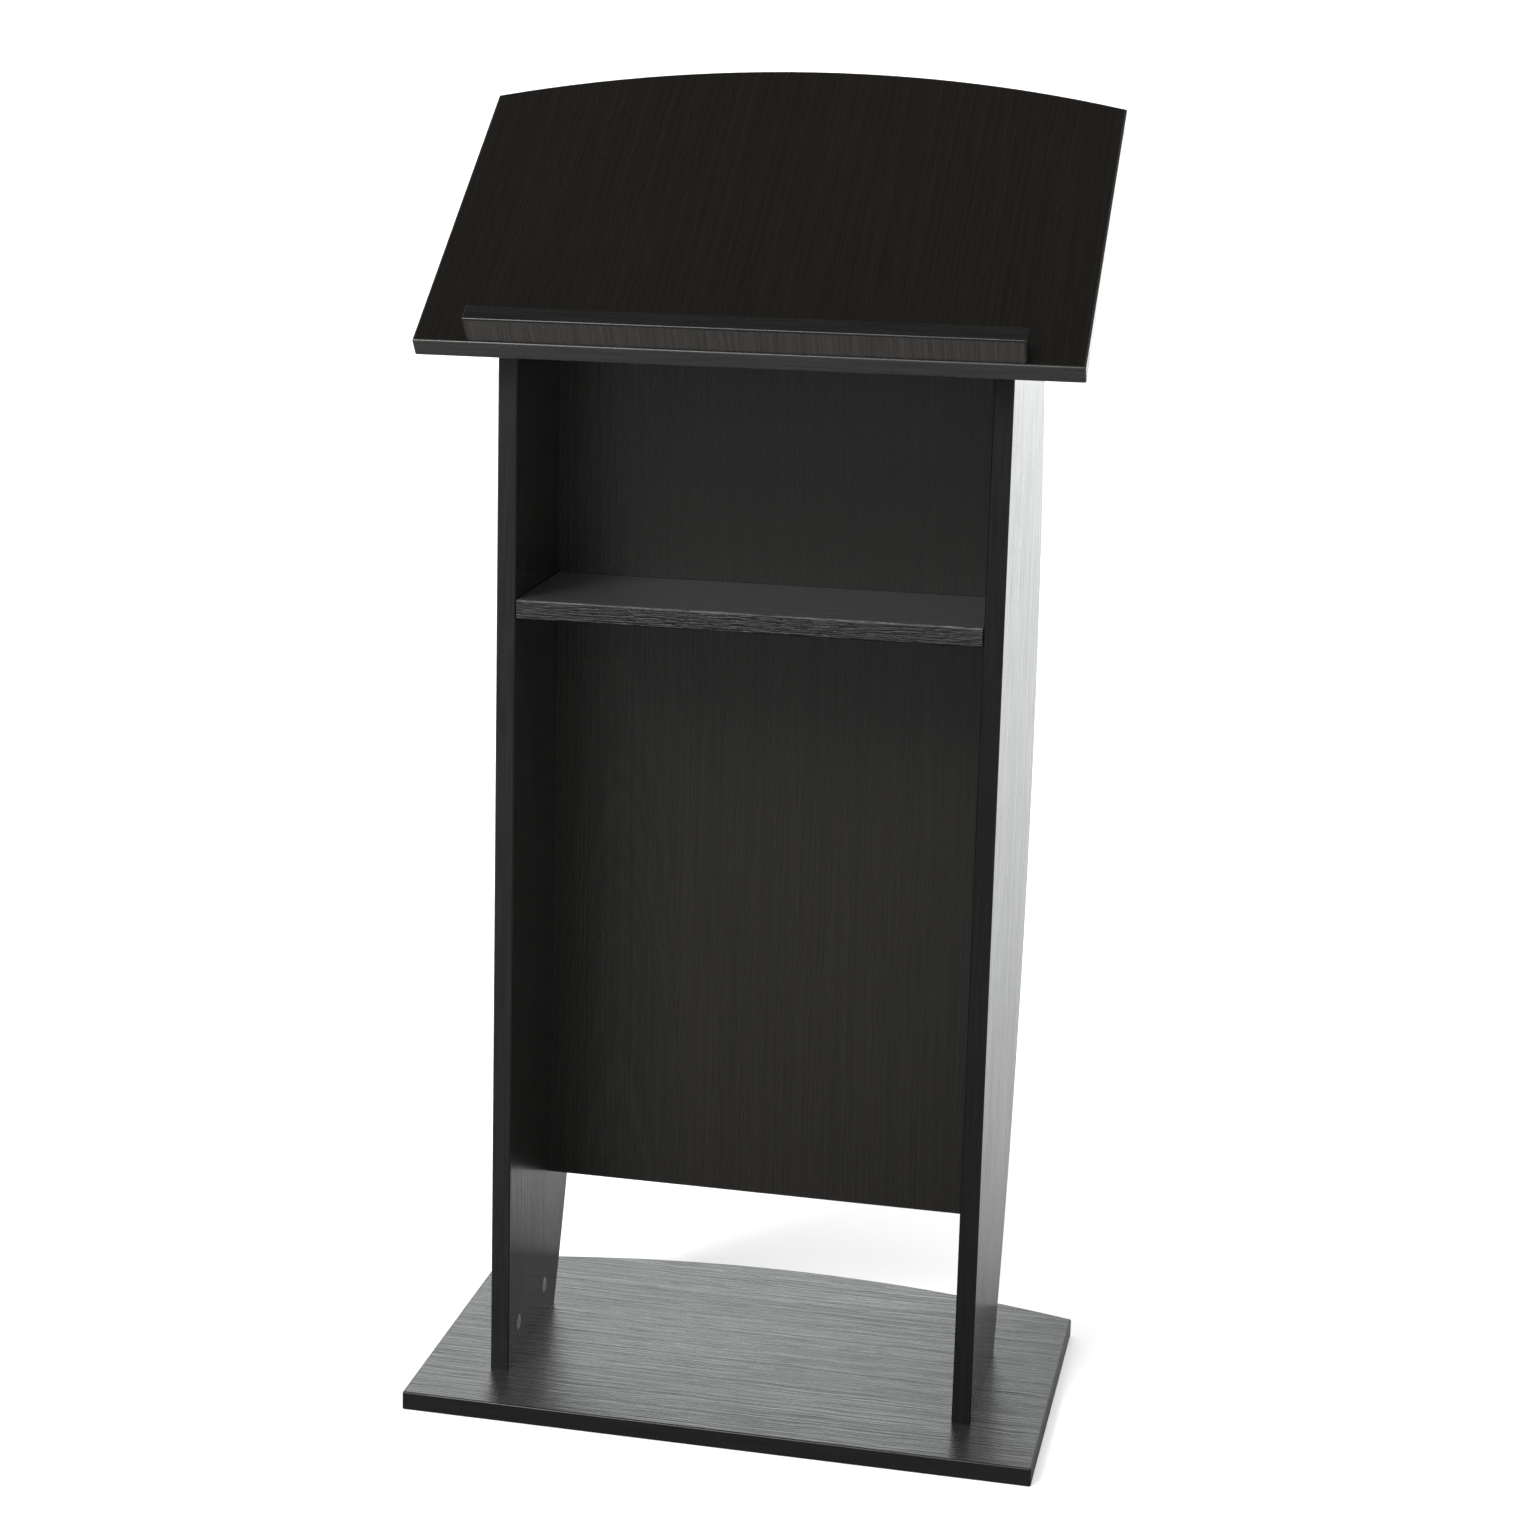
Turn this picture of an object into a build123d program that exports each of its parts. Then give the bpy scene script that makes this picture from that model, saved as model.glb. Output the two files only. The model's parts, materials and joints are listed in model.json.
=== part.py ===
from build123d import *
from math import cos, radians, sin, sqrt, tan
import os

# Knock-down floor lectern: a bowed base plate, two upright sides with a curved rear edge, an inset
# back panel, one loose shelf and a sloping reading top with a paper stop. Millimetres, +Z up, +Y away
# from the speaker. The origin is on the floor, under the middle of the base plate.

# ---- driving dimensions ----
board_t = 18.0              # every board is the same laminated board
band_t = 2.0                # edge banding on the edges that show
band_round = 1.6            # radius rolled on the banding's outer arrises
band_bevel = 1.0            # bevel trimmed on the banding of the curved sides

plan_width = 600.0          # base plate and reading top share one outline
corner_depth = 350.0        # front edge to rear corner
rear_bow = 46.0             # how far the rear edge bows past its corners
plan_depth = corner_depth + rear_bow
front = -plan_depth / 2

outer_half = 234.0          # half the width over the two sides
inner_half = outer_half - board_t
side_front = front + 76.0   # front edge of the sides
side_depth = 294.0          # at the fullest height of the rear curve
side_foot_depth = 173.0     # where the sides stand on the base plate
side_full_z = 600.0         # height of the fullest depth

top_tilt = 36.5             # slope of the reading top, degrees
top_front_y = front + 24.0  # upper front arris of the reading top
top_front_z = 1019.4

back_front = side_front + 152.0
back_bottom = 166.0
shelf_top = 779.0
shelf_gap = 1.0             # loose fit of the shelf, all round

stop_width = 500.0          # paper stop along the front of the reading top
stop_height = 26.0
stop_setback = 2.5          # clear of the top's rounded front arris

# Cam fittings: a disc in a blind bore grips the head of a bolt that is screwed into the other board.
cam_r = 7.45
cam_bore_r = 7.5
cam_length = 13.3
cam_bore_depth = 13.5
cam_turn = 190.0            # from locked to open
bolt_reach = 34.0           # board edge to disc centre
bolt_bore_r = 4.0
thread_r = 2.5
thread_depth = 11.0
neck_start = 26.0
head_start = 31.0
shank_r = 3.5
neck_r = 2.0
head_r = 3.25
head_room = 3.6             # half height of the hollow that the head sits in
hollow_r = 4.6
neck_room = 2.4             # half height of the slot that the neck runs in
mouth_r = 3.7               # opening that lets the head in

dowel_r = 4.0
dowel_deep = 20.0           # in the board's edge
dowel_shallow = 10.0        # in the board's face
hole_spare = 0.5            # each dowel hole is this much deeper

fitting_inset = 37.0        # first fitting from the front edge
foot_pitch = 96.0           # between the two cam fittings of each foot
head_pitch = 160.0          # between the two cam fittings under the top
back_cam_z = (260.0, 1040.0)
back_dowel_z = (350.0, 950.0)

pin_r = 2.5
pin_in_side = 9.0
pin_out = 9.0

screw_r = 2.0
screw_length = 34.0
screw_head_r = 4.0
screw_head_t = 2.4
screw_clearance_r = 2.25
screw_x = (-200.0, 0.0, 200.0)

# ---- derived places ----
slope = radians(top_tilt)
up_slope = Vector(0, cos(slope), sin(slope))
off_top = Vector(0, -sin(slope), cos(slope))
top_corner = Vector(0, top_front_y, top_front_z)
top_plane = Plane(origin=top_corner - off_top * board_t, x_dir=(1, 0, 0), z_dir=off_top)
base_plane = Plane(origin=(0, front, 0))

side_mid = (outer_half + inner_half) / 2
back_mid = back_front + board_t / 2
back_rear = back_front + board_t
back_top = top_plane.origin.Z + (back_front - top_plane.origin.Y) * tan(slope) - shelf_gap
pin_z = shelf_top - board_t - pin_r
foot_y = (side_front + fitting_inset, side_front + fitting_inset + foot_pitch)
head_first = (side_front - top_plane.origin.Y) / cos(slope) + fitting_inset
head_v = (head_first, head_first + head_pitch)
hands = {"left": -1, "right": 1}
ways = tuple(hands.values())


def on_top(x, v, w):
    """Point v up the slope and w off the underside of the reading top."""
    return top_plane.from_local_coords((x, v, w))


def on_hand(points, hand):
    """Those of the points that lie on one side of the middle."""
    return [point for point in points if point.X * hand > 0]


def facing(direction, points):
    """One plane at each point, looking the given way."""
    return [Plane(origin=point, z_dir=direction) for point in points]


foot_bolt_points = [Vector(way * side_mid, y, board_t) for way in ways for y in foot_y]
foot_cam_points = [Vector(way * inner_half, y, board_t + bolt_reach) for way in ways for y in foot_y]
foot_dowel_points = [Vector(way * side_mid, sum(foot_y) / 2, board_t) for way in ways]
head_bolt_points = [on_top(way * side_mid, v, 0) for way in ways for v in head_v]
head_cam_points = [on_top(way * inner_half, v, -bolt_reach) for way in ways for v in head_v]
head_dowel_points = [on_top(way * side_mid, sum(head_v) / 2, 0) for way in ways]
back_bolt_points = [Vector(way * inner_half, back_mid, z) for way in ways for z in back_cam_z]
back_cam_points = [Vector(way * (inner_half - bolt_reach), back_rear, z) for way in ways for z in back_cam_z]
back_dowel_points = [Vector(way * inner_half, back_mid, z) for way in ways for z in back_dowel_z]
pin_points = [Vector(way * inner_half, y, pin_z) for way in ways for y in foot_y]
screw_points = [on_top(x, stop_setback + board_t / 2, 0) for x in screw_x]
os.makedirs("parts", exist_ok=True)


def write(builder, name):
    """Label one finished piece and write it as its own file."""
    builder.part.label = name
    export_step(builder.part, f"parts/{name}.step")


def bowed_plan(plane, inset):
    """Outline shared by the base plate and the reading top, drawn from its front edge."""
    half = plan_width / 2
    with BuildSketch(plane) as plan:
        with BuildLine():
            Polyline((-half, corner_depth), (-half, 0), (half, 0), (half, corner_depth))
            ThreePointArc((half, corner_depth), (0, plan_depth), (-half, corner_depth))
        make_face()
        if inset:
            offset(amount=-inset, kind=Kind.INTERSECTION, mode=Mode.REPLACE)
    return plan.sketch


def side_profile(plane, inset):
    """Outline of a side: straight in front, one arc behind, tall enough to be cut by the top."""
    half = side_full_z - board_t
    sag = side_depth - side_foot_depth
    radius = (half**2 + sag**2) / (2 * sag)
    centre_y = side_front + side_depth - radius
    end_y = centre_y + sqrt((radius - inset) ** 2 - half**2)
    low, high = side_full_z - half, side_full_z + half
    with BuildSketch(plane) as profile:
        with BuildLine():
            Polyline((end_y, high), (side_front + inset, high), (side_front + inset, low), (end_y, low))
            ThreePointArc((end_y, low), (centre_y + radius - inset, side_full_z), (end_y, high))
        make_face()
    return profile.sketch


# ---- base plate and reading top ----
for board, plane in {"base_plate": base_plane, "reading_top": top_plane}.items():
    with BuildPart() as core:
        extrude(bowed_plan(plane, band_t), amount=board_t)
        if board == "base_plate":
            with Locations(*facing((0, 0, 1), foot_bolt_points)):
                Hole(thread_r, thread_depth)
            with Locations(*facing((0, 0, 1), foot_dowel_points)):
                Hole(dowel_r, dowel_shallow + hole_spare)
        else:
            with Locations(*facing(-off_top, head_bolt_points)):
                Hole(thread_r, thread_depth)
            with Locations(*facing(-off_top, head_dowel_points)):
                Hole(dowel_r, dowel_shallow + hole_spare)
            with Locations(*facing(-off_top, screw_points)):
                CounterSinkHole(screw_clearance_r, screw_head_r + 0.2, depth=board_t + 1)
    write(core, board)

    with BuildPart() as band:
        extrude(bowed_plan(plane, 0), amount=board_t)
        fillet(band.edges(), band_round)
        extrude(bowed_plan(plane, band_t), amount=board_t, mode=Mode.SUBTRACT)
    write(band, f"{board}_edge_band")

# ---- the two sides ----
for side, hand in hands.items():
    face_x = min(hand * inner_half, hand * outer_half)
    side_plane = Plane.YZ.offset(face_x)
    inward = (-hand, 0, 0)

    with BuildPart() as core:
        extrude(side_profile(side_plane, band_t), amount=board_t)
        split(bisect_by=top_plane, keep=Keep.BOTTOM)
        # feet: two bolts and a dowel rise into the lower edge, the discs open on the inner face
        with Locations(*facing((0, 0, -1), on_hand(foot_bolt_points, hand))):
            Hole(bolt_bore_r, bolt_reach)
        with Locations(*facing((0, 0, -1), on_hand(foot_dowel_points, hand))):
            Hole(dowel_r, dowel_deep + hole_spare)
        with Locations(*facing(inward, on_hand(foot_cam_points, hand))):
            Hole(cam_bore_r, cam_bore_depth)
        # head: the same fittings square to the sloping upper edge
        with Locations(*facing(off_top, on_hand(head_bolt_points, hand))):
            Hole(bolt_bore_r, bolt_reach)
        with Locations(*facing(off_top, on_hand(head_dowel_points, hand))):
            Hole(dowel_r, dowel_deep + hole_spare)
        with Locations(*facing(inward, on_hand(head_cam_points, hand))):
            Hole(cam_bore_r, cam_bore_depth)
        # the back panel's bolts and dowels, and the shelf pins, enter the inner face
        with Locations(*facing(inward, on_hand(back_bolt_points, hand))):
            Hole(thread_r, thread_depth)
        with Locations(*facing(inward, on_hand(back_dowel_points, hand))):
            Hole(dowel_r, dowel_shallow + hole_spare)
        with Locations(*facing(inward, on_hand(pin_points, hand))):
            Hole(pin_r, pin_in_side + hole_spare)
    write(core, f"{side}_side_panel")

    with BuildPart() as band:
        extrude(side_profile(side_plane, 0), amount=board_t)
        split(bisect_by=top_plane, keep=Keep.BOTTOM)
        front_arrises = band.edges().filter_by(Axis.Z)
        rear_arrises = band.edges().filter_by(GeomType.CIRCLE)
        chamfer(front_arrises + rear_arrises, band_bevel)
        extrude(side_profile(side_plane, band_t), amount=board_t, mode=Mode.SUBTRACT)
    write(band, f"{side}_side_edge_bands")

# ---- back panel, between the sides, clear of the base plate ----
with BuildPart() as back:
    with BuildSketch(Plane.XY.offset(back_bottom + band_t)):
        with Locations((0, back_mid)):
            Rectangle(2 * inner_half, board_t)
    extrude(amount=back_top - back_bottom - band_t)
    for hand in hands.values():
        with Locations(*facing((hand, 0, 0), on_hand(back_bolt_points, hand))):
            Hole(bolt_bore_r, bolt_reach)
        with Locations(*facing((hand, 0, 0), on_hand(back_dowel_points, hand))):
            Hole(dowel_r, dowel_deep + hole_spare)
    with Locations(*facing((0, 1, 0), back_cam_points)):
        Hole(cam_bore_r, cam_bore_depth)
write(back, "back_panel")

with BuildPart() as back_band:
    with BuildSketch(Plane.XY.offset(back_bottom)):
        with Locations((0, back_mid)):
            Rectangle(2 * inner_half, board_t)
    extrude(amount=band_t)
    fillet(back_band.faces().sort_by(Axis.Z)[0].edges().filter_by(Axis.X), band_round)
write(back_band, "back_panel_edge_band")

# ---- shelf, loose on four pins ----
shelf_half = inner_half - shelf_gap
with BuildPart() as shelf:
    with BuildSketch(Plane.XY.offset(shelf_top - board_t)):
        with BuildLine():
            Polyline(
                (-shelf_half, side_front + band_t),
                (shelf_half, side_front + band_t),
                (shelf_half, back_front - shelf_gap),
                (-shelf_half, back_front - shelf_gap),
                close=True,
            )
        make_face()
    extrude(amount=board_t)
write(shelf, "shelf")

with BuildPart() as shelf_band:
    with BuildSketch(Plane.XZ.offset(-side_front)):
        with Locations((0, shelf_top - board_t / 2)):
            Rectangle(2 * shelf_half, board_t)
    extrude(amount=-band_t)
    fillet(shelf_band.faces().sort_by(Axis.Y)[0].edges().filter_by(Axis.X), band_round)
write(shelf_band, "shelf_edge_band")

with BuildPart() as pins:
    for point in pin_points:
        seat = Plane(origin=point, z_dir=(-point.X, 0, 0))
        with BuildSketch(seat.offset(-pin_in_side)):
            Circle(pin_r)
        extrude(amount=pin_in_side + pin_out)
write(pins, "shelf_pins")

# ---- paper stop along the front of the reading top ----
stop_foot = top_corner + up_slope * (stop_setback + board_t / 2)
stop_plane = Plane(origin=stop_foot, x_dir=top_plane.x_dir, z_dir=top_plane.z_dir)
with BuildPart() as stop:
    with BuildSketch(stop_plane):
        Rectangle(stop_width - 2 * band_t, board_t)
    extrude(amount=stop_height - band_t)
    with Locations(*facing(-off_top, [point + off_top * board_t for point in screw_points])):
        Hole(screw_r, screw_length - board_t)
write(stop, "paper_stop")

with BuildPart() as stop_band:
    with BuildSketch(stop_plane):
        Rectangle(stop_width, board_t)
    extrude(amount=stop_height)
    upper = stop_band.faces().sort_by(Axis(stop_plane.origin, off_top))[-1]
    corners = stop_band.edges().filter_by(Axis((0, 0, 0), off_top))
    fillet(upper.edges() + corners, band_round)
    with BuildSketch(stop_plane):
        Rectangle(stop_width - 2 * band_t, board_t)
    extrude(amount=stop_height - band_t, mode=Mode.SUBTRACT)
write(stop_band, "paper_stop_edge_band")

with BuildPart() as screws:
    for point in screw_points:
        seat = Plane(origin=point, z_dir=off_top)
        with BuildSketch(seat):
            Circle(screw_r)
        extrude(amount=screw_length)
        with BuildSketch(seat):
            Circle(screw_head_r)
        with BuildSketch(seat.offset(screw_head_t)):
            Circle(screw_r)
        loft()
write(screws, "paper_stop_screws")


# ---- cam fittings and dowels ----
def cam_disc(face, name):
    """Cam disc with its face on the given plane, gripping a bolt that lies along the plane's +X."""
    spin = Axis(face.origin, face.z_dir)
    middle = face.offset(-board_t / 2)
    reach = 180 - cam_turn      # the mouth stands opposite the bolt when the disc is locked
    wall_from, wall_to = 32.0, 138.0
    with BuildPart() as disc:
        with BuildSketch(face):
            Circle(cam_r)
        extrude(amount=-cam_length)
        chamfer(disc.edges().group_by(spin)[-1], 0.4)
        with BuildSketch(middle.offset(-head_room)):
            Circle(hollow_r)
        extrude(amount=2 * head_room, mode=Mode.SUBTRACT)
        with BuildSketch(middle.offset(-neck_room)):
            with BuildLine():
                Line((0, 0), PolarLocations(cam_r + 1, 1, wall_to).locations[0].position)
                CenterArc((0, 0), cam_r + 1, wall_to, 360 - wall_to + wall_from)
                Line(PolarLocations(cam_r + 1, 1, wall_from).locations[0].position, (0, 0))
            make_face()
        extrude(amount=2 * neck_room, mode=Mode.SUBTRACT)
        with BuildSketch(Plane(origin=middle.origin, z_dir=-face.x_dir.rotate(spin, reach))):
            Circle(mouth_r)
        extrude(amount=cam_r + 1, mode=Mode.SUBTRACT)
        with BuildSketch(face):
            Rectangle(7.0, 1.3)
            Rectangle(1.3, 7.0)
        extrude(amount=-2.5, mode=Mode.SUBTRACT)
    write(disc, name)


def bolts(seats, name):
    """Bolts screwed into a board, each seat plane facing the disc."""
    with BuildPart() as group:
        for seat in seats:
            for start, end, radius in (
                (-thread_depth, 0, thread_r),
                (0, neck_start, shank_r),
                (neck_start, head_start, neck_r),
                (head_start, bolt_reach, head_r),
            ):
                with BuildSketch(seat.offset(start)):
                    Circle(radius)
                extrude(amount=end - start)
    write(group, name)


def dowels(seats, name):
    """Beech dowels, each seat plane facing the board that takes the longer end."""
    with BuildPart() as group:
        for seat in seats:
            with BuildSketch(seat.offset(-dowel_shallow)):
                Circle(dowel_r)
            extrude(amount=dowel_shallow + dowel_deep)
        chamfer(group.edges().filter_by(GeomType.CIRCLE), 1.0)
    write(group, name)


for side, hand in hands.items():
    inward = (-hand, 0, 0)
    for place, point in zip(("front", "rear"), on_hand(foot_cam_points, hand)):
        cam_disc(Plane(origin=point, x_dir=(0, 0, -1), z_dir=inward), f"foot_cam_{side}_{place}")
    for place, point in zip(("front", "rear"), on_hand(head_cam_points, hand)):
        cam_disc(Plane(origin=point, x_dir=off_top, z_dir=inward), f"head_cam_{side}_{place}")
    for place, point in zip(("lower", "upper"), on_hand(back_cam_points, hand)):
        cam_disc(Plane(origin=point, x_dir=(hand, 0, 0), z_dir=(0, 1, 0)), f"back_cam_{side}_{place}")

bolts([Plane(origin=point, z_dir=(0, 0, 1)) for point in foot_bolt_points], "foot_cam_bolts")
bolts([Plane(origin=point, z_dir=-off_top) for point in head_bolt_points], "head_cam_bolts")
bolts([Plane(origin=point, z_dir=(-point.X, 0, 0)) for point in back_bolt_points], "back_cam_bolts")
dowels([Plane(origin=point, z_dir=(0, 0, 1)) for point in foot_dowel_points], "foot_dowels")
dowels([Plane(origin=point, z_dir=-off_top) for point in head_dowel_points], "head_dowels")
dowels([Plane(origin=point, z_dir=(-point.X, 0, 0)) for point in back_dowel_points], "back_dowels")
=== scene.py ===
import json
import math

import bpy
from mathutils import Matrix, Vector

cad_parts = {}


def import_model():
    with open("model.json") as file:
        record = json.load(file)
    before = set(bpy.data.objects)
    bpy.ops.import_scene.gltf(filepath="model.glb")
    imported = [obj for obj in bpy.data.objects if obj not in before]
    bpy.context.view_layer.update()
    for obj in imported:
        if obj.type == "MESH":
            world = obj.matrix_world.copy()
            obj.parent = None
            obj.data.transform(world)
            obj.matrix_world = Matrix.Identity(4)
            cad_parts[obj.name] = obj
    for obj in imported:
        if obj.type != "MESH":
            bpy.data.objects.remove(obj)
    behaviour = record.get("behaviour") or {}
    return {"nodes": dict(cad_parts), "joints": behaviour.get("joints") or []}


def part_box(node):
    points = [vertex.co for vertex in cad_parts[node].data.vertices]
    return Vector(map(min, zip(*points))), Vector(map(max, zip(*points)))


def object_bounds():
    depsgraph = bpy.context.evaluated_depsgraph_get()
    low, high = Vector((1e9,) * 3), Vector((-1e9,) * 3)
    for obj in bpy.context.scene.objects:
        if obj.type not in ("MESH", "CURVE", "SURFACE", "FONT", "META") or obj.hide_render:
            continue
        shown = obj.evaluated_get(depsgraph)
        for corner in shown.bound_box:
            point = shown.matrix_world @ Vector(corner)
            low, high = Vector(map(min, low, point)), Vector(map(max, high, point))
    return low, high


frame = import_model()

CAD_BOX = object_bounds()
NODES = frame["nodes"]
JOINTS = {joint["name"]: joint for joint in frame["joints"]}

X, Y, Z = Vector((1, 0, 0)), Vector((0, 1, 0)), Vector((0, 0, 1))


def pivot(name):
    return Vector(JOINTS[name]["pos_m"])


UP_SLOPE = (pivot("head_cam_turn_left_rear") - pivot("head_cam_turn_left_front")).normalized()
OFF_TOP = X.cross(UP_SLOPE)

BLACK_BROWN = (0.0106, 0.0096, 0.0089)
# pale grey painted along the shelf band's upper arris as a highlight
PAINTED_ARRIS_HIGHLIGHT = (0.045, 0.046, 0.048)
FLOOR_SPAN = 160.0


# ---- node helpers ----
class Tree:
    """The node tree of a material or world, built by short calls that return sockets."""

    def __init__(self, owner):
        owner.use_nodes = True
        self.owner = owner
        self.nodes = owner.node_tree.nodes
        self.links = owner.node_tree.links
        self.shader = self.nodes.get("Principled BSDF")

    def add(self, kind, inputs=None, **settings):
        node = self.nodes.new(kind)
        for key, value in settings.items():
            setattr(node, key, value)
        for key, value in (inputs or {}).items():
            if isinstance(value, bpy.types.NodeSocket):
                self.links.new(value, node.inputs[key])
            else:
                node.inputs[key].default_value = value
        return node

    def math(self, operation, a, b=0.0, c=0.0):
        return self.add("ShaderNodeMath", {0: a, 1: b, 2: c}, operation=operation).outputs[0]

    def dot(self, vector, axis):
        inputs = {0: vector, 1: tuple(axis)}
        return self.add("ShaderNodeVectorMath", inputs, operation="DOT_PRODUCT").outputs["Value"]

    def vector(self, x, y, z):
        return self.add("ShaderNodeCombineXYZ", {0: x, 1: y, 2: z}).outputs[0]

    def noise(self, vector, scale=1.0, detail=2.0, roughness=0.5):
        inputs = {"Vector": vector, "Scale": scale, "Detail": detail, "Roughness": roughness}
        return self.add("ShaderNodeTexNoise", inputs).outputs["Fac"]

    def remap(self, value, low, high, to_low=0.0, to_high=1.0):
        inputs = {0: value, 1: low, 2: high, 3: to_low, 4: to_high}
        return self.add("ShaderNodeMapRange", inputs, interpolation_type="SMOOTHSTEP").outputs[0]

    def mix(self, factor, a, b):
        node = self.add("ShaderNodeMix", data_type="RGBA")
        for key, value in ((0, factor), (6, a), (7, b)):
            if isinstance(value, bpy.types.NodeSocket):
                self.links.new(value, node.inputs[key])
            elif key == 0:
                node.inputs[key].default_value = value
            else:
                node.inputs[key].default_value = (*value, 1.0)
        return node.outputs[2]

    def bump(self, height, distance):
        return self.add("ShaderNodeBump", {"Height": height, "Distance": distance}).outputs[0]

    def place(self):
        return self.add("ShaderNodeTexCoord").outputs["Object"]

    def seen_by(self, kind):
        return self.add("ShaderNodeLightPath").outputs[f"Is {kind} Ray"]

    def mix_shader(self, factor, a, b):
        return self.add("ShaderNodeMixShader", {0: factor, 1: a, 2: b}).outputs[0]

    def to(self, socket, value):
        self.links.new(value, self.shader.inputs[socket])


def new_material(name):
    return Tree(bpy.data.materials.new(name))


# ---- materials ----
def laminate(name, along, across, heart=0.0, seed=0.0, dark=1.0, relief=1.0, rough=0.27, wave=1.0,
             matt=0.05, depth=0.42, fibre=250.0, tint=(1, 1, 1), sheen=0.0):
    """Black-brown wood-grain laminate, its grain running along one axis.

    heart is where the grain's arches stand across the board, wave how far the grain wanders, fibre how
    many fibres there are to the metre, depth their contrast, matt how much duller the deep ones are.
    """
    t = new_material(name)
    place = t.place()
    s, c = t.dot(place, along), t.dot(place, across)

    # the grain wanders slowly, then wavers
    drift_at = t.vector(t.math("MULTIPLY", c, 4.0), t.math("MULTIPLY", s, 1.1), seed)
    drift = t.noise(drift_at, detail=1.0)
    waver_at = t.vector(t.math("MULTIPLY", c, 26.0), t.math("MULTIPLY", s, 17.0), seed + 3)
    waver = t.noise(waver_at, detail=2.0)
    shift = t.math("MULTIPLY_ADD", drift, 0.020 * wave, t.math("MULTIPLY", waver, 0.0050 * wave))
    c2 = t.math("ADD", c, shift)

    # growth rings: arches near the heart line, straight lines away from it
    off = t.math("SUBTRACT", c2, heart)
    arch = t.math("MULTIPLY_ADD", t.math("MULTIPLY", off, off), 8.0, t.math("MULTIPLY", s, 0.10))
    rings_at = t.vector(t.math("MULTIPLY", arch, 170.0), seed + 7, 0.0)
    rings = t.noise(rings_at, detail=3.0, roughness=0.7)
    heartwood = t.remap(t.math("ABSOLUTE", off), 0.02, 0.12, 1.0, 0.25)

    # long fibres, finer fibres and a few open pores
    skew = t.math("MULTIPLY_ADD", c, 90.0, t.math("MULTIPLY", s, 1.6))
    long_at = t.vector(t.math("MULTIPLY", c2, fibre), skew, seed + 11)
    long_fibre = t.noise(long_at, detail=2.0, roughness=0.7)
    fine_at = t.vector(t.math("MULTIPLY", c2, 700.0), t.math("MULTIPLY", s, 7.0), seed + 13)
    fine_fibre = t.noise(fine_at, detail=2.0, roughness=0.6)
    pore_at = t.vector(t.math("MULTIPLY", c2, 560.0), t.math("MULTIPLY", s, 13.0), seed + 17)
    pores = t.remap(t.noise(pore_at, detail=1.0), 0.60, 0.74, 0.0, 0.5)

    fibres = t.math("MULTIPLY_ADD", long_fibre, 0.65, t.math("MULTIPLY", fine_fibre, 0.35))
    ringed = t.math("MULTIPLY", t.math("SUBTRACT", rings, 0.5), heartwood)
    grain = t.math("MULTIPLY_ADD", ringed, 0.75, fibres)
    middle = [v * dark * w for v, w in zip(BLACK_BROWN, tint)]
    pale, deep = [v * (1 + depth) for v in middle], [v * (1 - depth) for v in middle]
    printed = t.mix(t.remap(grain, 0.36, 0.62), deep, pale)
    t.to("Base Color", t.mix(pores, printed, [v * 0.5 for v in deep]))

    # handling leaves the gloss slightly uneven, and the pressed grain breaks it up
    smudge = t.remap(t.noise(place, scale=7.0, detail=2.0), 0.25, 0.75, -0.010, 0.014)
    pressed = t.remap(grain, 0.34, 0.64, rough + matt, rough - 0.3 * matt)
    t.to("Roughness", t.math("ADD", pressed, smudge))
    t.shader.inputs["IOR"].default_value = 1.5
    t.shader.inputs["Sheen Weight"].default_value = sheen
    t.shader.inputs["Sheen Roughness"].default_value = 0.5
    t.to("Normal", t.bump(t.math("MULTIPLY_ADD", pores, -0.5, grain), 0.00022 * relief))
    return t.owner


def edging(name, along, across, seed=0.0, relief=0.3, tint=0.012, rough=0.32, pitch=600.0, shine=0.5,
           contrast=0.15, broken=11.0, waver=0.0014, highlight_top=None):
    """Plastic edge banding with a printed and pressed grain running along the strip.

    pitch and broken set how fine and how short its lines are, waver how far they wander in metres, and
    the last argument is the height of the upper arris, along which a painted highlight runs.
    """
    t = new_material(name)
    place = t.place()
    s, c = t.dot(place, along), t.dot(place, across)
    sway = t.noise(t.vector(t.math("MULTIPLY", c, 90.0), t.math("MULTIPLY", s, 12.0), seed + 2))
    c2 = t.math("MULTIPLY_ADD", sway, waver, c)
    grain_at = t.vector(t.math("MULTIPLY", c2, pitch), t.math("MULTIPLY", s, broken), seed)
    grain = t.noise(grain_at, detail=3.0)
    streak = t.remap(grain, 0.38, 0.62)
    low, high = tint * (1 - contrast), tint * (1 + contrast)
    colour = t.mix(streak, (low, low * 0.98, low * 0.96), (high, high * 0.98, high * 0.96))
    # painted highlight: a lighter grey in the top 2 mm of the band, broken by the grain, stands in for
    # light catching the rounded arris
    if highlight_top is not None:
        highlight_mask = t.remap(c, highlight_top - 0.0022, highlight_top - 0.0012)
        highlight_mask = t.math("MULTIPLY", highlight_mask, t.remap(grain, 0.30, 0.50))
        colour = t.mix(highlight_mask, colour, PAINTED_ARRIS_HIGHLIGHT)
    t.to("Base Color", colour)
    wear = t.remap(t.noise(place, scale=30.0, detail=4.0), 0.55, 0.75, 0.0, 0.10)
    t.to("Roughness", t.math("ADD", t.math("MULTIPLY_ADD", streak, 0.08, rough), wear))
    t.shader.inputs["Specular IOR Level"].default_value = shine
    t.to("Normal", t.bump(grain, 0.00025 * relief))
    return t.owner


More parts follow.
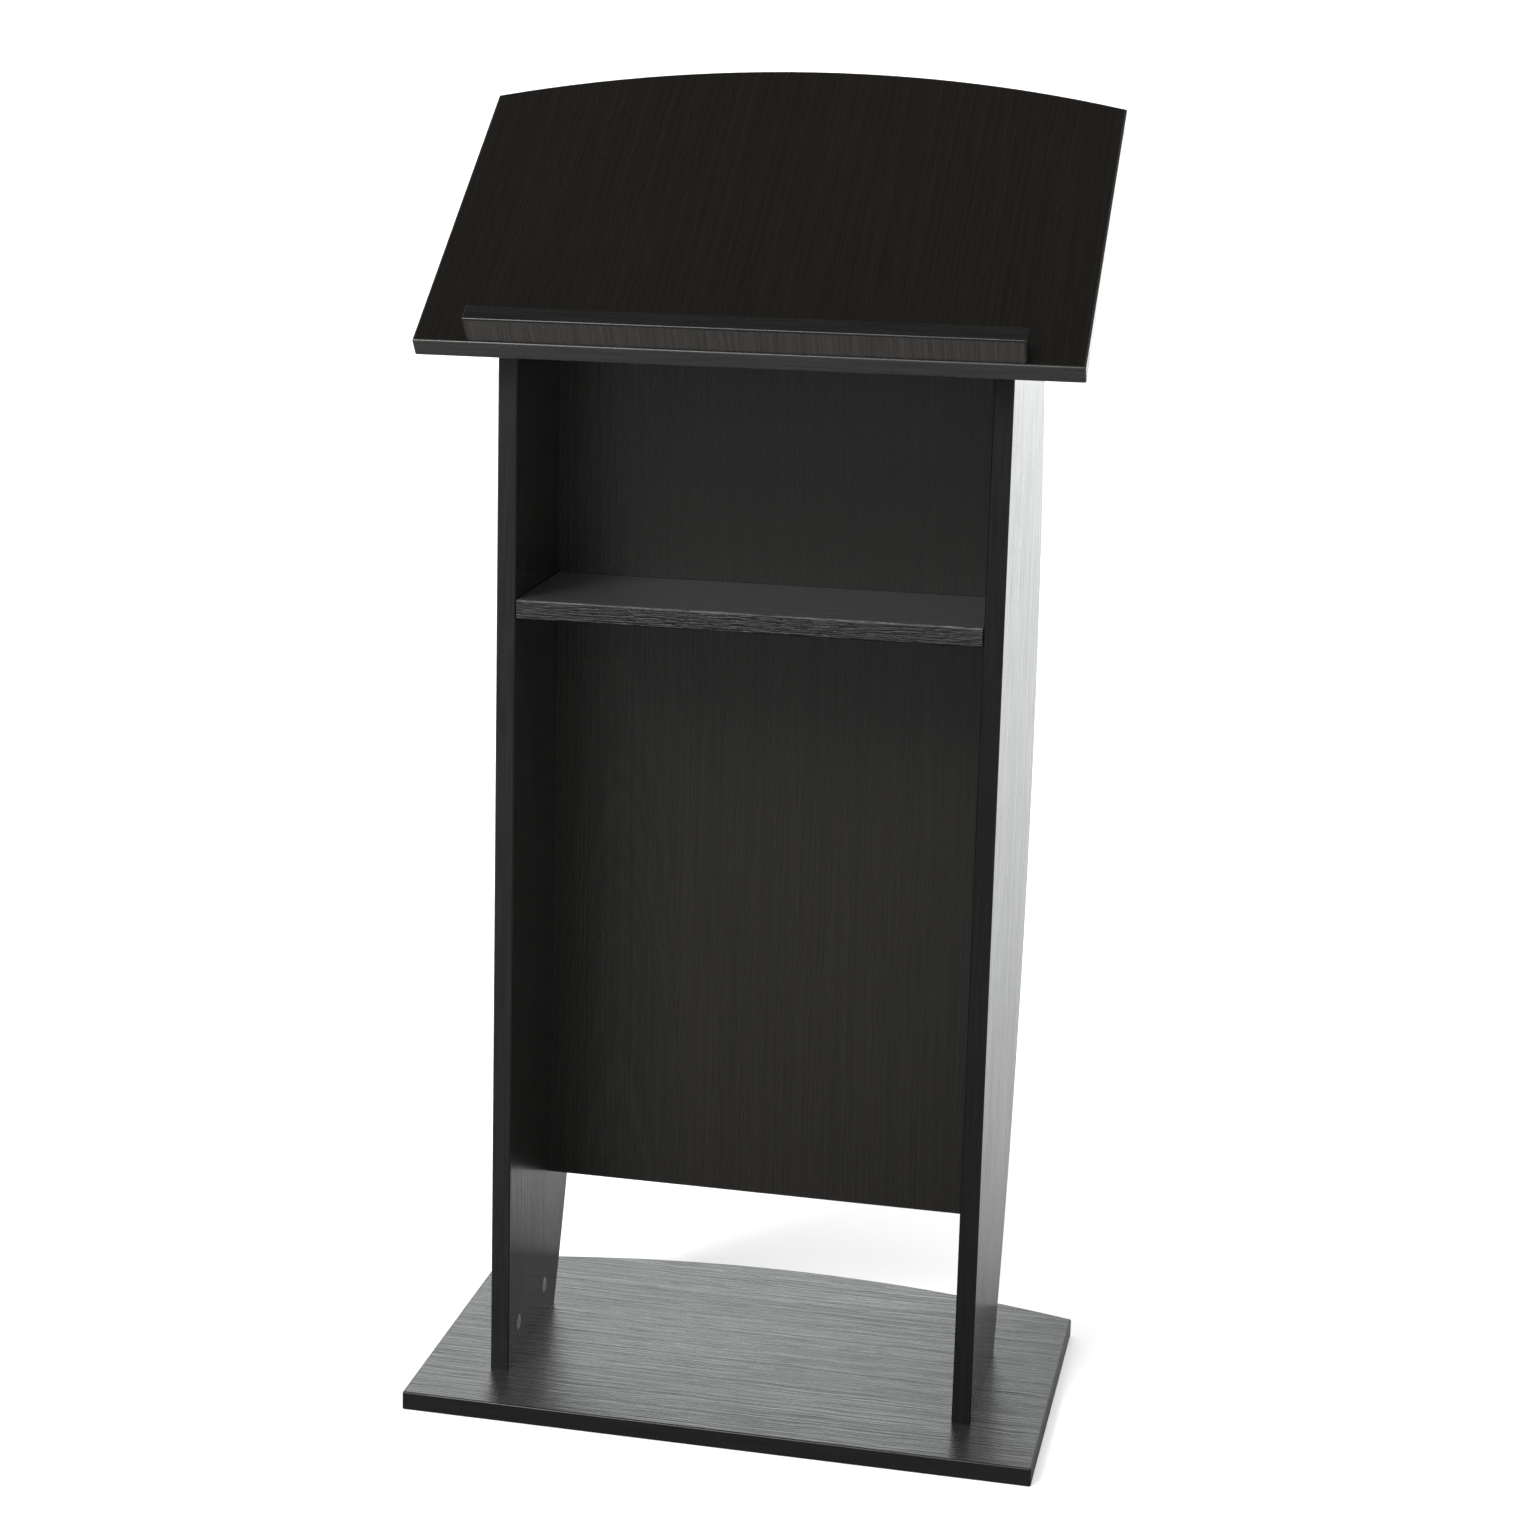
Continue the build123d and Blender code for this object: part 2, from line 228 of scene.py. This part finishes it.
def cast_metal(name, tint, roughness, scale):
    """Plated metal with a fine cast skin."""
    t = new_material(name)
    skin = t.noise(t.place(), scale=scale, detail=4.0, roughness=0.6)
    t.to("Base Color", t.mix(t.remap(skin, 0.35, 0.7), tint, [v * 0.62 for v in tint]))
    t.to("Roughness", t.math("MULTIPLY_ADD", skin, 0.18, roughness))
    t.to("Normal", t.bump(skin, 0.00006))
    t.shader.inputs["Metallic"].default_value = 1.0
    return t.owner


def beech(name):
    """Bare turned beech with small flecks."""
    t = new_material(name)
    fleck = t.noise(t.place(), scale=900.0, detail=3.0)
    t.to("Base Color", t.mix(t.remap(fleck, 0.4, 0.65), (0.62, 0.42, 0.25), (0.45, 0.28, 0.15)))
    t.to("Normal", t.bump(fleck, 0.0001))
    t.shader.inputs["Roughness"].default_value = 0.65
    return t.owner


def finish(node, material):
    """Gives a CAD node its material."""
    mesh = NODES[node].data
    mesh.materials.clear()
    mesh.materials.append(material)


def dress():
    """The boards, their banding and the metal and wooden fittings."""
    finish("base_plate", laminate("laminate_base", X, Y, 0.45, 2.0, relief=3.6, rough=0.23, wave=1.4,
                                  matt=0.16))
    finish("reading_top", laminate("laminate_top", UP_SLOPE, X, 0.50, 5.0, dark=0.30, relief=0.4,
                                   fibre=380.0, tint=(1.15, 0.95, 0.70)))
    finish("left_side_panel", laminate("laminate_left", Z, Y, -0.40, 9.0, dark=1.15, relief=2.8,
                                       rough=0.17, matt=0.09))
    finish("right_side_panel", laminate("laminate_right", Z, Y, -0.25, 13.0, dark=0.9, relief=2.2,
                                        rough=0.18, matt=0.07))
    finish("back_panel", laminate("laminate_back", Z, X, -0.14, 21.0, dark=0.75, relief=0.8,
                                  depth=0.30, fibre=420.0, tint=(1.05, 1.0, 0.90)))
    finish("shelf", laminate("laminate_shelf", X, Y, -0.2, 27.0, dark=0.7, relief=0.6, rough=0.34,
                             sheen=0.05))
    finish("paper_stop", laminate("laminate_stop", OFF_TOP, X, 0.4, 33.0, dark=2.2, relief=0.4,
                                  depth=0.25, fibre=500.0, wave=0.2))
    finish("base_plate_edge_band", edging("edging_base", X, Z, 1.0, tint=0.003, rough=0.30))
    finish("reading_top_edge_band", edging("edging_top", X, OFF_TOP, 2.0, tint=0.020, rough=0.26))
    # painted light: the left side's bands get twice the right side's tint, so the left front edges look
    # lit by light falling from the front left
    finish("left_side_edge_bands", edging("edging_left", Z, X, 3.0, tint=0.006, pitch=350.0,
                                          shine=0.4))
    finish("right_side_edge_bands", edging("edging_right", Z, X, 4.0, tint=0.003, shine=0.32))
    finish("back_panel_edge_band", edging("edging_back", X, Y, 5.0))
    # the shelf band gets a painted highlight along its upper arris
    shelf_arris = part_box("shelf_edge_band")[1].z
    finish("shelf_edge_band", edging("edging_shelf", X, Z, 6.0, relief=6.0, tint=0.005, pitch=750.0,
                                     contrast=1.0, shine=0.38, broken=48.0, waver=0.0005,
                                     highlight_top=shelf_arris))
    finish("paper_stop_edge_band", edging("edging_stop", X, UP_SLOPE, 7.0, tint=0.005, rough=0.26))
    cam_metal = cast_metal("cam_zinc", (0.84, 0.81, 0.73), 0.24, 2200.0)
    bolt_metal = cast_metal("bolt_zinc", (0.66, 0.66, 0.62), 0.28, 1500.0)
    pin_metal = cast_metal("pin_nickel", (0.78, 0.75, 0.70), 0.16, 1800.0)
    wood = beech("dowel_beech")
    for node in NODES:
        if "_cam_" in node and not node.endswith("bolts"):
            finish(node, cam_metal)
        elif node.endswith(("_bolts", "_screws")):
            finish(node, bolt_metal)
        elif node.endswith("_dowels"):
            finish(node, wood)
    finish("shelf_pins", pin_metal)


# ---- stage, light and camera ----
def floor():
    """Pale paper floor. Glossy rays see a painted reflection instead: the floor glows, dimmest at the
    lectern's foot as painted shade and brightening out to the room.
    """
    bpy.ops.mesh.primitive_plane_add(size=FLOOR_SPAN, location=(0, 0, CAD_BOX[0].z))
    plane = bpy.context.object
    plane.name = "floor"
    t = new_material("floor_paper")
    place = t.place()
    mottle = t.noise(place, scale=0.8, detail=4.0)
    t.to("Base Color", t.mix(mottle, (0.84, 0.84, 0.84), (0.87, 0.87, 0.87)))
    t.shader.inputs["Roughness"].default_value = 0.8
    t.shader.inputs["Specular IOR Level"].default_value = 0.1
    # painted reflection: glossy rays see the floor as an emission, not lit paper. It is dimmer near the
    # lectern as painted shade and brighter out into the room
    reach = t.add("ShaderNodeVectorMath", {0: place}, operation="LENGTH").outputs["Value"]
    reach = t.math("LOGARITHM", t.math("MAXIMUM", reach, 0.15), math.e)
    behind = t.remap(t.dot(place, Y), -0.3, 0.4)
    near = t.math("MULTIPLY_ADD", reach, 0.49, 0.64 + 0.49 * math.log(2.0))
    ahead = t.remap(reach, math.log(0.2), math.log(1.8), 0.20, 0.35)
    level = t.add("ShaderNodeMix", {0: behind, 2: ahead, 3: near}, data_type="FLOAT").outputs[0]
    floor_reflection_glow = t.add("ShaderNodeEmission", {"Color": (0.975, 1.0, 0.98, 1), "Strength": level}).outputs[0]
    out = t.nodes["Material Output"]
    t.links.new(t.mix_shader(t.seen_by("Glossy"), t.shader.outputs[0], floor_reflection_glow), out.inputs["Surface"])
    plane.data.materials.append(t.owner)


def world():
    """Even soft light; the gloss sees a dim ceiling and a brighter far wall, the eye a white backdrop."""
    w = bpy.data.worlds.new("studio")
    bpy.context.scene.world = w
    t = Tree(w)
    t.nodes.clear()
    way = t.add("ShaderNodeTexCoord").outputs["Generated"]
    rise, depth = t.dot(way, Z), t.dot(way, Y)
    wall = t.remap(depth, -0.6, 0.6, 0.45, 1.45)
    height = t.remap(rise, 0.0, 0.45)
    level = t.add("ShaderNodeMix", {0: height, 2: wall, 3: 0.09}, data_type="FLOAT").outputs[0]
    gloss = t.add("ShaderNodeBackground", {"Color": (0.97, 1.0, 0.98, 1), "Strength": level}).outputs[0]
    fill = t.add("ShaderNodeBackground", {"Color": (1, 1, 1, 1), "Strength": 1.1}).outputs[0]
    pale = t.add("ShaderNodeBackground", {"Color": (1, 1, 1, 1), "Strength": 1.0}).outputs[0]
    lit = t.mix_shader(t.seen_by("Glossy"), fill, gloss)
    shown = t.mix_shader(t.seen_by("Camera"), lit, pale)
    out = t.add("ShaderNodeOutputWorld")
    t.links.new(shown, out.inputs["Surface"])


def softbox(name, at, towards, width, height, radiance, tint=(1, 1, 1)):
    """Rectangular light seen in the gloss only."""
    data = bpy.data.lights.new(name, "AREA")
    data.shape = "RECTANGLE"
    data.size, data.size_y = width, height
    data.energy = radiance * math.pi * width * height
    data.color = tint
    lamp = bpy.data.objects.new(name, data)
    bpy.context.scene.collection.objects.link(lamp)
    lamp.location = at
    lamp.rotation_euler = (Vector(towards) - Vector(at)).to_track_quat("-Z", "Y").to_euler()
    lamp.visible_camera = False
    lamp.visible_diffuse = False


def sun(name, elevation, left, strength, spread, gloss=True):
    """Soft distant light from the speaker's side of the lectern, turned towards -X by left degrees."""
    data = bpy.data.lights.new(name, "SUN")
    data.energy = strength
    data.angle = math.radians(spread)
    lamp = bpy.data.objects.new(name, data)
    bpy.context.scene.collection.objects.link(lamp)
    rise, turn = math.radians(elevation), math.radians(left)
    source = Vector((-math.sin(turn) * math.cos(rise), -math.cos(turn) * math.cos(rise), math.sin(rise)))
    lamp.rotation_euler = source.to_track_quat("Z", "Y").to_euler()
    lamp.visible_glossy = gloss


def lights():
    cool = (0.94, 1.0, 0.98)
    softbox("window_left", (-1.1, 3.2, 1.55), (-0.2, 0, 0.2), 2.2, 2.6, 2.0, cool)
    softbox("window_right", (0.8, 3.4, 1.6), (0.1, 0, 0.2), 1.8, 2.2, 0.8, cool)
    softbox("far_window", (-0.75, -8.2, 2.5), (0, 0, 1.0), 2.5, 1.4, 1.7)
    sun("overhead", 80, -60, 1.0, 60, gloss=False)
    softbox("front_glow", (-0.6, -4.0, 2.9), (0, 0, 0.9), 4.0, 1.3, 3.5)
    sun("key", 38, 30, 2.7, 22)


def camera():
    """The photograph's viewpoint: above and to the right of the speaker."""
    frame_px = 1527
    focal_px = 3188.2
    yaw, pitch, roll = (math.radians(a) for a in (13.94, 12.50, 0.85))
    data = bpy.data.cameras.new("camera")
    data.sensor_width = 36.0
    data.lens = focal_px / frame_px * data.sensor_width
    data.shift_x, data.shift_y = 0.1071, -0.0416
    data.clip_end = 500.0
    cam = bpy.data.objects.new("camera", data)
    bpy.context.scene.collection.objects.link(cam)
    ahead = Vector((-math.sin(yaw) * math.cos(pitch), math.cos(yaw) * math.cos(pitch), -math.sin(pitch)))
    right = ahead.cross(Z).normalized()
    up = right.cross(ahead)
    level_right = right * math.cos(roll) + up * math.sin(roll)
    level_up = up * math.cos(roll) - right * math.sin(roll)
    turn = Matrix((level_right, level_up, -ahead)).transposed().to_4x4()
    cam.matrix_world = Matrix.Translation((0.5554, CAD_BOX[0].y - 2.7028, 1.3247)) @ turn
    bpy.context.scene.camera = cam


dress()
floor()
world()
lights()
camera()
bpy.context.scene.view_settings.view_transform = "Standard"
